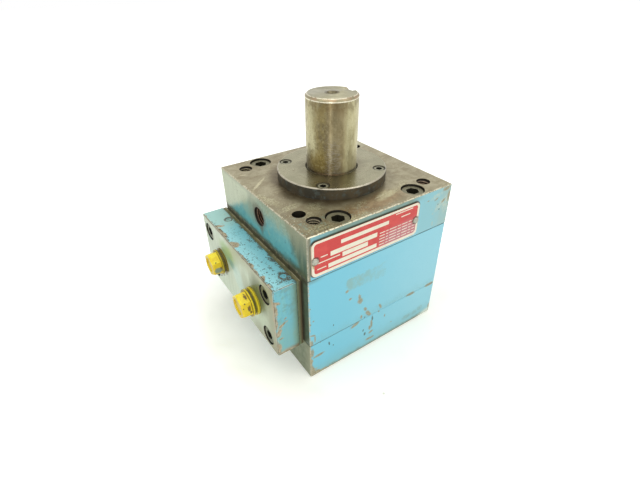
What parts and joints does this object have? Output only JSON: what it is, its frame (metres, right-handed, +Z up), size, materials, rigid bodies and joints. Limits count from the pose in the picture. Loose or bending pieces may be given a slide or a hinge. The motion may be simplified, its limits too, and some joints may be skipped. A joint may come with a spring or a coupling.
{
  "type": "hydraulic rotary actuator",
  "caption": "Square-bodied vane-type hydraulic rotary actuator with a keyed vertical shaft, a retainer ring, tie screws and a side manifold with capped ports.",
  "frame": {"origin": "centre of the rear head's underside, on the shaft's axis", "axes": "+Z up along the shaft, -Y towards the nameplate, -X towards the manifold"},
  "size_m": [0.1496, 0.1221, 0.1745],
  "materials": {
    "blue_paint": "worn satin paint over steel",
    "shaft_steel": "ground steel with oil stain",
    "ring_steel": "turned steel, stained",
    "screw_steel": "oily alloy steel",
    "plate_steel": "dark oily steel",
    "bronze": "bearing bronze",
    "seal_rubber": "matte",
    "yellow_plastic": "moulded, soiled",
    "red_plate": "printed metal plate",
    "rivet_metal": "dull"
  },
  "bodies": {
    "housing": {"front_head": "blue_paint", "stator_housing": "blue_paint", "rear_head": "blue_paint", "stator_shoe": "shaft_steel", "shoe_seal": "seal_rubber", "shoe_screws": "screw_steel", "front_bearing": "bronze", "rear_bearing": "bronze", "front_thrust_washer": "bronze", "rear_thrust_washer": "bronze", "shaft_seal": "seal_rubber", "front_body_o_ring": "seal_rubber", "rear_body_o_ring": "seal_rubber", "retainer_ring": "ring_steel", "retainer_screws": "screw_steel", "tie_screws": "screw_steel", "front_dowels": "screw_steel", "rear_dowels": "screw_steel", "manifold_block": "blue_paint", "manifold_seal_plate": "plate_steel", "manifold_o_rings": "seal_rubber", "manifold_screws": "screw_steel", "passage_plugs": "screw_steel", "upper_port_plug": "yellow_plastic", "lower_port_plug": "yellow_plastic", "nameplate": "red_plate", "nameplate_screws": "rivet_metal"},
    "rotor": {"rotor_shaft": "shaft_steel", "vane_seal": "seal_rubber"}
  },
  "joints": [
    {"name": "shaft_rotation", "type": "hinge", "parent": "housing", "child": "rotor", "pos_m": [0, 0, 0.1175], "axis": [0, 0, 1], "range_deg": [-140, 140]}
  ]
}
